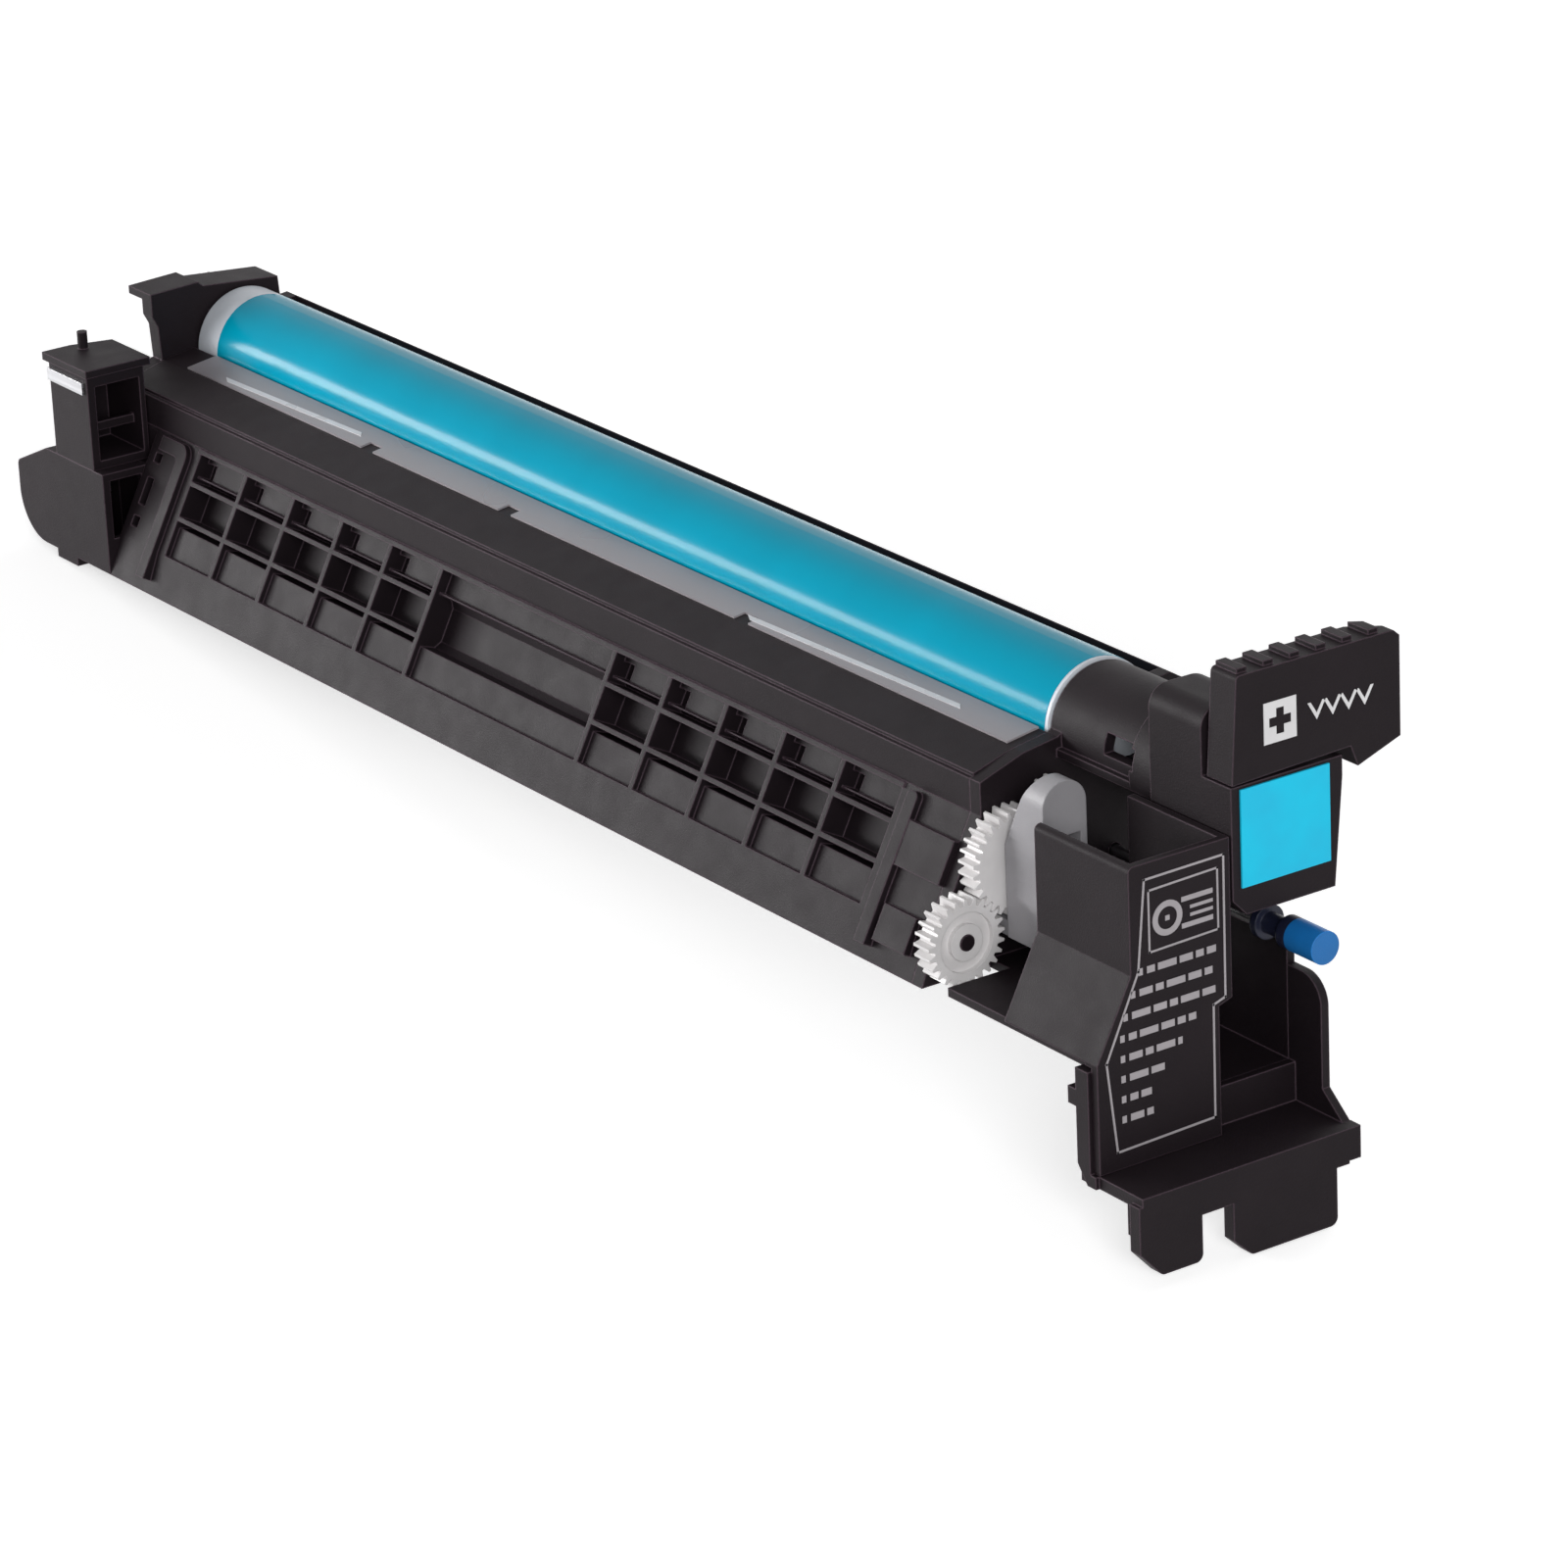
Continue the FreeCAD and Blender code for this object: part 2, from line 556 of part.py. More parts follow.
def handle_column():
    """Column that carries the badge and the grip, with the ear that holds the grip's pin."""
    column = prism([(39.2, 56), (43, 52), (68.5, 52), (71.0, 78.2), (71.0, 83.2), (39.2, 83.2)], PANEL, 33.6)
    neck = box(39.2, 70.0, 33.0, 35.0, 56, 83.2)
    rear = prism([(39.2, 56), (43, 52), (70, 52), (70, 84), (39.2, 84)], 34.4, COLUMN_REAR)
    ear_side = [(39.2, 82.4), (39.2, EAR_TOP), (54.0, EAR_TOP), (70, 84), (70, 82.4)]
    ear = prism(ear_side, EAR_FRONT, COLUMN_REAR, {1: 5.0, 2: 7.0})
    column = column.fuse([neck, rear, ear])
    column = column.cut(rod(LEVER_PIVOT, LEVER_PIN_R, EAR_FRONT - 1, COLUMN_REAR - 3))
    column = column.cut(box(48, 66, 36.4, COLUMN_REAR + 1, 54, 79))
    return column.removeSplitter()


def colour_badge():
    """Coloured field on the column's front."""
    return box(41.6, 67.0, PANEL - 0.5, PANEL, 58.8, 82.4)


def push_lever():
    """Grip that is pressed down to free the cartridge, ribbed on top and hollow behind."""
    top = 109.4
    rear = PANEL + LEVER_DEPTH
    face = [(39.6, 83.6), (41.3, top), (86.2, top), (88.0, 107.8), (88.0, 83.6), (75.6, 79.4), (73.6, 84.6)]
    plate = prism(face, PANEL, rear, {1: 1.2, 2: 0.8})
    hollow = box(44.4, 77.5, PANEL + 2.4, rear + 1, 87.6, 106.8)
    plate = plate.cut(hollow.cut(rod(LEVER_PIVOT, 4.0, PANEL, rear + 1)))
    for k in range(6):
        plate = plate.fuse(box(42.4 + 7.5 * k, 45.2 + 7.5 * k, PANEL + 1.2, rear - 0.4, top - 0.4, top + 1.2))
    # Rear right corner cut away
    plate = plate.cut(prism_z([(79.0, rear + 0.1), (89.0, rear + 0.1), (89.0, rear - 7.4)], 78, top + 2))
    return plate.cut(rod(LEVER_PIVOT, LEVER_PIN_R + RUN_GAP, PANEL + 2.9, rear + 1)).removeSplitter()


def lever_pin():
    """Steel pin of the grip."""
    return rod(LEVER_PIVOT, LEVER_PIN_R, PANEL + 3.2, COLUMN_REAR - 3.1)


def gear_bracket():
    """Pale bearing block in front of the gears, rounded at the top, with the strap for the magnet's shaft."""
    top = 75.4
    block = prism([(19.8, 34), (19.8, top), (32.2, top), (32.2, 34)], 60.0, 74.9, {1: 6.1, 2: 6.1})
    # Seen from the side, the block's back leans forward towards the top
    block = block.common(prism_x([(60, 34), (60, top), (65.5, top), (74.9, 57), (74.9, 34)], 19, 33))
    block = block.cut(box(21.8, 30.4, 59, 72.0, 30, 62))
    end = 4.6
    strap = prism([(30, SLEEVE[1] - end), (30, SLEEVE[1] + end), (SLEEVE[0] + end, SLEEVE[1] + end),
                   (SLEEVE[0] + end, SLEEVE[1] - end)], 72.0, 74.6, {2: end - 0.1, 3: end - 0.1})
    strap = strap.cut(rod(SLEEVE, MAGNET_SHAFT_R, 71, 76))
    posts = [box(x0, x0 + 3.0, 73, FRONT_WALL, 34, 37.8) for x0 in (20.2, 29.2)]
    return block.fuse([strap] + posts).removeSplitter()


def cleaner_housing():
    """Trough right of the drum for scraped toner, with the lip seen above the drum."""
    body = prism(cleaner_corners(), FRONT_WALL_END, REAR_WALL, {1: 3.0, 3: 4.0})
    body = body.cut(rod(DRUM, DRUM_R + 1.2, FRONT_WALL_END - 1, REAR_WALL + 1))
    body = body.cut(rod(WASTE, SCREW_BORE_R, FRONT_WALL_END - 1, REAR_WALL + 1))
    # Pocket of the cleaning blade, from the trough up to the drum's right side
    pocket = [(72.6, 66.6), (83.0, 66.6), (83.0, 74.6), (77.6, 80.0), (71.0, 80.0), (70.0, 74.0)]
    body = body.cut(prism(pocket, FRONT_WALL_END + 3, REAR_WALL - 3))
    body = body.cut(box(WASTE[0] - 2.0, WASTE[0] + 4.0, FRONT_WALL_END + 3, REAR_WALL - 3, WASTE[1], 68.0))
    return body.removeSplitter()


def blade_holder():
    """Bent steel strip that holds the cleaning blade."""
    return prism([(81.4, 67.0), (82.8, 67.0), (82.8, 74.4), (76.6, 79.8), (76.6, 77.8), (81.4, 73.6)],
                 FRONT_WALL_END + 3.4, REAR_WALL - 3.4)


def cleaning_blade():
    """Rubber strip whose edge meets the drum."""
    tip = polar(DRUM, DRUM_R + 0.3, 8.0)
    return prism([(76.6, 79.4), (76.6, 77.8), (tip[0] + 0.9, tip[1] - 0.6), tip],
                 FRONT_WALL_END + 4, REAR_WALL - 4)


def charger_case():
    """Channel of the corona charger, open towards the drum."""
    case = box(CHARGER_X0, CHARGER_X1, FRONT_WALL_END, REAR_WALL, CHARGER_Z0, CHARGER_Z1 - 1.2)
    channel = box(CHARGER_X0 + 1.2, CHARGER_X1 - 1.2, FRONT_WALL_END - 1, REAR_WALL + 1, CHARGER_Z0 + 1.2, 60)
    return case.cut(channel)


def charger_grid():
    """Punched steel grid over the charger."""
    grid = box(CHARGER_X0, CHARGER_X1, FRONT_WALL_END, REAR_WALL, CHARGER_Z1 - 1.2, CHARGER_Z1 - 0.7)
    pitch = 30.0
    for k in range(12):
        y0 = FRONT_WALL_END + 14 + pitch * k
        for x0 in (50.4, 57.6):
            grid = grid.cut(box(x0, x0 + 5.0, y0, y0 + pitch - 4, 56, 59))
    return grid


def charger_block(y0, y1):
    """Insulating end block of the charger, with the way through for the cleaner's rod."""
    block = box(CHARGER_X0 + 1.2, CHARGER_X1 - 1.2, y0, y1, CHARGER_Z0 + 1.2, CHARGER_Z1 - 1.4)
    return block.cut(rod(CLEANER_ROD, CLEANER_ROD_R + 0.3, y0 - 1, y1 + 1))


def corona_wire():
    """Charging wire, stretched between the end blocks."""
    return rod((56.5, 51.5), 0.25, FRONT_WALL_END + 8, REAR_WALL - 8)


def cleaner_rod():
    """Long rod that draws the wire cleaner through the charger."""
    return rod(CLEANER_ROD, CLEANER_ROD_R, KNOB_FRONT + 18, PAD_FRONT + 8)


def cleaner_knob():
    """Round pull knob with a neck and a collar."""
    knob = rod(CLEANER_ROD, 4.0, KNOB_FRONT, KNOB_FRONT + 13)
    knob = knob.fuse(rod(CLEANER_ROD, 2.6, KNOB_FRONT + 12.5, KNOB_FRONT + 20))
    knob = knob.fuse(rod(CLEANER_ROD, 4.2, KNOB_FRONT + 20, KNOB_FRONT + 22))
    return knob.cut(rod(CLEANER_ROD, CLEANER_ROD_R, KNOB_FRONT + 17, KNOB_FRONT + 30)).removeSplitter()


def wire_pad():
    """Cleaning pad on the rod, with the cleft that the wire runs in."""
    pad = box(49.6, 63.4, PAD_FRONT, PAD_FRONT + 8, 42.0, 55.4)
    pad = pad.cut(box(56.0, 57.0, PAD_FRONT - 1, PAD_FRONT + 9, 50.6, 56))
    return pad.cut(rod(CLEANER_ROD, CLEANER_ROD_R, PAD_FRONT - 1, PAD_FRONT + 9))


def rear_frame():
    """Rear end wall, with the raised bracket above the drum."""
    left = [(14.2, CORNER[1]), (14.2, 52.0), (18.0, 52.0), (20.4, 62.0), (20.4, 71.0), FILM_LOW]
    wall = end_plate(REAR_WALL, REAR_WALL_END, left)
    brow = [(28.5, 93.4), (43.5, 94.0), (45.0, 92.6), (68.5, 90.4)]
    bracket = prism([(31.0, 66), (30.0, 84), (28.5, 87)] + brow + [(70.0, 70)], REAR_WALL, REAR_WALL_END)
    roof = prism([(28.5, 91.2)] + brow + [(68.5, 88.2)], REAR_WALL_END - 1, 486.0)
    frame = wall.fuse(bracket).fuse(roof)
    frame = frame.cut(square_bar(DRUM, REAR_BUSH, REAR_WALL - 1, REAR_WALL_END + 1))
    frame = frame.cut(rod(SLEEVE, SLEEVE_REAR_R + RUN_GAP, REAR_WALL - 1, REAR_WALL_END + 1))
    for axis in (FEED, STIR, WASTE):
        frame = frame.cut(rod(axis, SCREW_SHAFT_R + RUN_GAP, REAR_WALL - 1, REAR_WALL_END + 1))
    return frame.removeSplitter()


def rear_cover():
    """Rounded cover behind the developer, over its gears."""
    left = [(SIDE_END, 24.2), (REAR, 24.2), (REAR, 45.0), (488.0, 52.6), (SIDE_END, 52.6)]
    right = [(SIDE_END, 24.2), (REAR, 24.2), (REAR, 45.0), (492.0, 57.0), (SIDE_END, 57.0)]
    cover = prism_x(left, 0, 30, {1: 13.0, 2: 2.0}).fuse(prism_x(right, 27, 50, {1: 13.0, 2: 2.0}))
    cover = cover.fuse(box(0, 8, 475, 486, 21.8, 25))
    cover = cover.cut(box(14.0, 51, SIDE_END - 1, REAR_WALL_END + 0.2, 20, 60))
    hollow = [(SIDE_END + SHEET, 26.4), (REAR - 2.4, 26.4), (REAR - 2.4, 43.6), (487.4, 50.4),
              (SIDE_END + SHEET, 50.4)]
    cover = cover.cut(prism_x(hollow, 2.2, 47.8, {1: 11.0}))
    raised = [(SIDE_END + SHEET, 40), (REAR - 4, 40), (491.4, 54.9), (SIDE_END + SHEET, 54.9)]
    cover = cover.cut(prism_x(raised, 29.2, 47.8))
    gear_room = MODULE * SLEEVE_REAR_TEETH / 2 + 1.6
    cover = cover.cut(rod(SLEEVE, gear_room, SIDE_END, REAR_GEARS + GEAR_WIDTH + 1))
    # Opening in the front wall, under the tower
    cover = cover.cut(box(2.2, 12.0, SIDE_END - 1, SIDE_END + SHEET + 1, 34.0, 50.4))
    return cover.removeSplitter()


def rear_tower():
    """Upright contact tower on the rear cover, open towards the front."""
    tower = box(0, 17.6, 461.5, 482.0, 52.6, 79.0)
    tower = tower.cut(box(2.4, 16.0, 461.0, 480.0, 55.0, 76.0))
    # Rib across the opening
    return tower.fuse(box(2.0, 16.4, 466.0, 467.6, 62.0, 64.4)).removeSplitter()


def tower_cap():
    """Cap of the tower with its locating peg."""
    cap = prism_z([(-0.6, 460.6), (-0.6, 484.4), (8.0, 484.4), (19.4, 481.0), (19.4, 460.6)], 79.0, 81.2)
    return cap.fuse(Part.makeCylinder(1.4, 5.0, V(9.5, 479.5, 81.0), UPWARD)).removeSplitter()


def contact_strip():
    """Bright spring contact on the tower's side."""
    return box(-0.8, 0.0, 463.0, 482.0, 74.0, 77.4)


def guide_pin():
    """Rear locating pin."""
    return rod(GUIDE_PIN, 3.0, REAR_WALL_END, REAR_WALL_END + 18)


def add(name, shape):
    """Keep a finished piece under its node name."""
    parts[name] = shape


def make_all():
    """Make every piece."""
    add("developer_housing", developer_housing())
    add("developer_cover", developer_cover())
    add("seal_film", seal_film())
    add("metering_blade", metering_blade())
    add("developer_sleeve", developer_sleeve())
    add("magnet_core", magnet_core())
    add("feed_screw", paddle_screw(FEED, REAR_GEARS + GEAR_WIDTH))
    add("stir_screw", paddle_screw(STIR, REAR_GEARS + GEAR_WIDTH))
    add("waste_screw", paddle_screw(WASTE, DRUM_GEARS + GEAR_WIDTH))
    add("sleeve_gear", train_gear(SLEEVE_TEETH, SLEEVE, SLEEVE_PHASE, FRONT_GEARS, SLEEVE_FRONT_R))
    add("idler_gear", train_gear(IDLER_TEETH, IDLER, IDLER_PHASE, FRONT_GEARS, POST_R + RUN_GAP))
    add("input_gear", input_gear())
    rear_gear = train_gear(SLEEVE_REAR_TEETH, SLEEVE, SLEEVE_REAR_PHASE, REAR_GEARS, SLEEVE_REAR_R)
    add("sleeve_rear_gear", rear_gear)
    add("stir_gear", screw_gear(STIR_TEETH, STIR, STIR_PHASE, REAR_GEARS))
    add("feed_gear", screw_gear(FEED_TEETH, FEED, FEED_PHASE, REAR_GEARS))
    add("waste_gear", screw_gear(WASTE_TEETH, WASTE, WASTE_PHASE, DRUM_GEARS))
    add("drum_tube", drum_tube())
    add("drum_front_flange", drum_front_flange())
    add("drum_rear_flange", drum_rear_flange())
    add("drum_gear", train_gear(DRUM_TEETH, DRUM, DRUM_PHASE, DRUM_GEARS, REAR_JOURNAL_R))
    add("drum_front_bearing", drum_bearing(FRONT_WALL - 1, FRONT_WALL_END, FRONT_JOURNAL_R, FRONT_BUSH))
    add("drum_rear_bearing", drum_bearing(REAR_WALL, REAR_WALL_END + 1, REAR_JOURNAL_R, REAR_BUSH))
    add("front_frame", front_frame())
    add("front_foot", front_foot())
    add("front_cover", front_cover())
    add("handle_column", handle_column())
    add("colour_badge", colour_badge())
    add("push_lever", push_lever())
    add("lever_pin", lever_pin())
    add("gear_bracket", gear_bracket())
    add("cleaner_housing", cleaner_housing())
    add("blade_holder", blade_holder())
    add("cleaning_blade", cleaning_blade())
    add("charger_case", charger_case())
    add("charger_grid", charger_grid())
    add("charger_front_block", charger_block(FRONT_WALL_END, FRONT_WALL_END + 8))
    add("charger_rear_block", charger_block(REAR_WALL - 8, REAR_WALL))
    add("corona_wire", corona_wire())
    add("cleaner_rod", cleaner_rod())
    add("cleaner_knob", cleaner_knob())
    add("wire_pad", wire_pad())
    add("rear_frame", rear_frame())
    add("rear_cover", rear_cover())
    add("rear_tower", rear_tower())
    add("tower_cap", tower_cap())
    add("contact_strip", contact_strip())
    add("guide_pin", guide_pin())


def export():
    """Move every piece to the final frame and write it."""
    os.makedirs("parts", exist_ok=True)
    whole = Part.makeCompound(list(parts.values())).optimalBoundingBox(False)
    shift = V(-(whole.XMin + whole.XMax) / 2, -(whole.YMin + whole.YMax) / 2, -whole.ZMin)
    for name, shape in parts.items():
        moved = shape.copy()
        moved.translate(shift)
        moved.exportStep(os.path.join("parts", name + ".step"))


make_all()
export()
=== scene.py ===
"""Looks of the imaging cartridge: materials, printed marks, stage, light and camera.

Sizes are in millimetres in the working datum of the part's source: x runs right
across the front, y towards the rear along the drum, z up, from the front-left top
corner of the foot's shelf. spot() turns them into the frame. Sizes inside the
materials and the places of the lamps are in metres.
"""

import json
from math import atan, cos, radians, sin

import bmesh
import bpy
from mathutils import Matrix, Vector

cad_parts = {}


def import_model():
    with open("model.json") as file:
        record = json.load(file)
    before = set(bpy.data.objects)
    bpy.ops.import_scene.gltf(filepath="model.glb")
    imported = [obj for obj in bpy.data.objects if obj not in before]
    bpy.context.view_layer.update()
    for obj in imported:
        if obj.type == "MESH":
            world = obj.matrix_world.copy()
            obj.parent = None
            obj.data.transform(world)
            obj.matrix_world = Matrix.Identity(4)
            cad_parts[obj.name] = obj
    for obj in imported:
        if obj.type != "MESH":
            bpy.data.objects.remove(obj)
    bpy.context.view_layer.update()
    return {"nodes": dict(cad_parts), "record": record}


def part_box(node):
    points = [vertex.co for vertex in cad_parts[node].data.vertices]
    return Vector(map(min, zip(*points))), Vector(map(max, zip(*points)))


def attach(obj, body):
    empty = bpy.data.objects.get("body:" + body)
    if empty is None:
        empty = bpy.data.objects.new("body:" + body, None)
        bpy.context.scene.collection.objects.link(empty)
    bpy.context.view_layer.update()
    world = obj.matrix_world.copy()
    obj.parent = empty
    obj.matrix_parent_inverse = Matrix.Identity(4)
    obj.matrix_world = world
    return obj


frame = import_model()
nodes = frame["nodes"]

MM = 0.001

# The badge's lowest corner ties the working datum to the frame
BADGE = Vector((41.6, 15.0, 58.8))
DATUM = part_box("colour_badge")[0] - BADGE * MM


def spot(x, y, z):
    """Point of the working datum, in the frame."""
    return DATUM + Vector((x, y, z)) * MM


# Camera, solved from the photograph: place in the working datum, angles in degrees
CAMERA_PLACE = (-846.54, -1123.62, 654.92)
CAMERA_AZIMUTH = -33.93
CAMERA_ELEVATION = 21.447
CAMERA_ROLL = -2.667
CAMERA_LENS = 160.06
SENSOR_WIDTH = 36.0
CAMERA_REACH = 20.0

# Front face that carries the marks, and the thickness of the print
PANEL = 15.5
PRINT = 0.12

# Painted reflection on the seal film, as pale strips: the film's two long edges, its thickness, the
# strips' thickness and width
FILM_LOW = Vector((31.0, 74.5))
FILM_HIGH = Vector((40.8, 75.9))
FILM_THICKNESS = 0.5
REFLECTION_STRIP_THICKNESS = 0.1
REFLECTION_STRIP_WIDTH = 1.5

# Where the blue of the pull knob ends, along the object's own y
KNOB_SPLIT = (nodes["cleaner_knob"].matrix_world.inverted() @ spot(0.0, 14.5, 0.0)).y
KNOB_NECK = (0.01, 0.012, 0.03)

# Noise scales, per metre
MOTTLE_SCALE = 55.0
FINISH_SCALE = 140.0
GRAIN_SCALE = 2600.0
BRUSH_SCALE = 900.0
RING_SCALE = 30.0

# Stretch along the cartridge: long strokes on metal, rings around the drum
BRUSHED_ALONG = (1.0, 0.02, 1.0)
RINGED_ALONG = (0.05, 1.0, 0.05)

# Depth of fine relief, rounding and relief of metal edges
RELIEF = 0.0002
METAL_EDGE = 0.0002
METAL_RELIEF = 0.15
BEVEL_SAMPLES = 4

# Cosine of the bevel's turn where an edge takes its full paler colour, and where a face keeps its own;
# the paler edge is wear, and on the dark plastic a painted highlight
WEAR_AND_HIGHLIGHT_FULL = 0.80
WEAR_AND_HIGHLIGHT_NONE = 0.985

COAT_SPECULAR = 0.06

# Floor: its glow to the eye and to reflections, its size and its gap under the object
FLOOR_GLOW = 0.57
FLOOR_SIZE = 40.0
FLOOR_GAP = 0.0002
WORLD_LIGHT = 0.17

# What touches the floor: the legs' front edge, and the start of the rear cover's rounding
LEG_EDGE = 3.6
COVER_ROUNDING = 13.0


# Materials


def new_material(name):
    """Empty material with its tree, and the shader to feed."""
    material = bpy.data.materials.new(name)
    material.use_nodes = True
    tree = material.node_tree
    return material, tree, tree.nodes["Principled BSDF"]


def noise(tree, scale, detail, stretch=None):
    """Noise on object coordinates, so that its scale is per metre, stretched along the axes."""
    node = tree.nodes.new("ShaderNodeTexNoise")
    node.inputs["Scale"].default_value = scale
    node.inputs["Detail"].default_value = detail
    source = tree.nodes.new("ShaderNodeTexCoord").outputs["Object"]
    if stretch:
        mapping = tree.nodes.new("ShaderNodeMapping")
        mapping.inputs["Scale"].default_value = stretch
        tree.links.new(source, mapping.inputs["Vector"])
        source = mapping.outputs["Vector"]
    tree.links.new(source, node.inputs["Vector"])
    return node.outputs["Fac"]


def ramp(tree, source, low, high, start=0.3, end=0.7):
    """Two colours, or two greys, spread over a source's range."""
    node = tree.nodes.new("ShaderNodeValToRGB")
    node.color_ramp.elements[0].position = start
    node.color_ramp.elements[0].color = low
    node.color_ramp.elements[1].position = end
    node.color_ramp.elements[1].color = high
    tree.links.new(source, node.inputs["Fac"])
    return node.outputs["Color"]


def shade(colour, factor):
    """Colour with an alpha of one, lighter or darker by a factor."""
    return tuple(min(1.0, part * factor) for part in colour) + (1.0,)


def grey(level):
    """Grey with an alpha of one."""
    return (level, level, level, 1.0)


def vary_colour(tree, shader, source, colour, low, high):
    """Base colour that wanders between two shades of a colour."""
    shades = ramp(tree, source, shade(colour, low), shade(colour, high))
    tree.links.new(shades, shader.inputs["Base Color"])


def vary_rough(tree, shader, source, rough, spread):
    """Roughness that wanders by a spread either way."""
    levels = ramp(tree, source, grey(rough - spread), grey(rough + spread))
    tree.links.new(levels, shader.inputs["Roughness"])


def replace_colour(tree, shader, mask, colour):
    """Another colour over the shader's own wherever a mask is one."""
    mix = tree.nodes.new("ShaderNodeMix")
    mix.data_type = "RGBA"
    tree.links.new(mask, mix.inputs["Factor"])
    tree.links.new(shader.inputs["Base Color"].links[0].from_socket, mix.inputs["A"])
    mix.inputs["B"].default_value = colour
    tree.links.new(mix.outputs["Result"], shader.inputs["Base Color"])


def rounded_bump(tree, shader, height, strength, edge):
    """Fine relief from a height, over edges that look rounded; gives the bevel for an edge mask."""
    bump = tree.nodes.new("ShaderNodeBump")
    bump.inputs["Strength"].default_value = strength
    bump.inputs["Distance"].default_value = RELIEF
    bevel = tree.nodes.new("ShaderNodeBevel")
    bevel.samples = BEVEL_SAMPLES
    bevel.inputs["Radius"].default_value = edge
    tree.links.new(bevel.outputs["Normal"], bump.inputs["Normal"])
    tree.links.new(height, bump.inputs["Height"])
    tree.links.new(bump.outputs["Normal"], shader.inputs["Normal"])
    return bevel


def edge_mask(tree, bevel):
    """One where the bevel turns the surface's normal, zero on flats."""
    shape = tree.nodes.new("ShaderNodeNewGeometry")
    turn = tree.nodes.new("ShaderNodeVectorMath")
    turn.operation = "DOT_PRODUCT"
    tree.links.new(bevel.outputs["Normal"], turn.inputs[0])
    tree.links.new(shape.outputs["True Normal"], turn.inputs[1])
    return ramp(tree, turn.outputs["Value"], grey(1.0), grey(0.0), WEAR_AND_HIGHLIGHT_FULL, WEAR_AND_HIGHLIGHT_NONE)


def moulded(name, colour, rough, grain=0.3, edge=0.0005, edge_wear_and_highlight=1.5, specular=0.4):
    """Moulded plastic: mottled a little, grained, and paler along edges; that is wear where the edge
    factor is small, and a painted highlight on the dark plastic, where it is large.
    """
    material, tree, shader = new_material(name)
    vary_colour(tree, shader, noise(tree, MOTTLE_SCALE, 4.0), colour, 0.88, 1.12)
    bevel = rounded_bump(tree, shader, noise(tree, GRAIN_SCALE, 2.0), grain, edge)
    # Paler edges: wear, and with the dark plastic's large factor a painted highlight
    replace_colour(tree, shader, edge_mask(tree, bevel), shade(colour, edge_wear_and_highlight))
    vary_rough(tree, shader, noise(tree, FINISH_SCALE, 3.0), rough, 0.03)
    shader.inputs["Specular IOR Level"].default_value = specular
    return material


def metal(name, colour, rough):
    """Drawn or rolled metal, brushed along the cartridge."""
    material, tree, shader = new_material(name)
    brushed = noise(tree, BRUSH_SCALE, 3.0, BRUSHED_ALONG)
    vary_colour(tree, shader, brushed, colour, 0.85, 1.1)
    vary_rough(tree, shader, brushed, rough, 0.08)
    rounded_bump(tree, shader, brushed, METAL_RELIEF, METAL_EDGE)
    shader.inputs["Metallic"].default_value = 1.0
    return material


def coated_drum(name, colour, rough):
    """Photoconductor coat: even colour, smooth, with faint rings from dip coating."""
    material, tree, shader = new_material(name)
    rings = noise(tree, RING_SCALE, 2.0, RINGED_ALONG)
    vary_colour(tree, shader, rings, colour, 0.95, 1.05)
    vary_rough(tree, shader, rings, rough, 0.02)
    shader.inputs["Specular IOR Level"].default_value = COAT_SPECULAR
    return material


def two_tone(material, split, behind):
    """Second colour on the part of a piece that lies behind a station along the cartridge."""
    tree = material.node_tree
    axes = tree.nodes.new("ShaderNodeSeparateXYZ")
    place = tree.nodes.new("ShaderNodeTexCoord")
    tree.links.new(place.outputs["Object"], axes.inputs["Vector"])
    beyond = tree.nodes.new("ShaderNodeMath")
    beyond.operation = "GREATER_THAN"
    beyond.inputs[1].default_value = split
    tree.links.new(axes.outputs["Y"], beyond.inputs[0])
    replace_colour(tree, tree.nodes["Principled BSDF"], beyond.outputs[0], shade(behind, 1.0))
    return material


def plain_surface(name, colour, rough=0.45, scale=90.0):
    """Printed surface, film, or pale strip of painted reflection, with a slight unevenness."""
    material, tree, shader = new_material(name)
    uneven = noise(tree, scale, 2.0)
    vary_colour(tree, shader, uneven, colour, 0.93, 1.05)
    vary_rough(tree, shader, uneven, rough, 0.05)
    return material


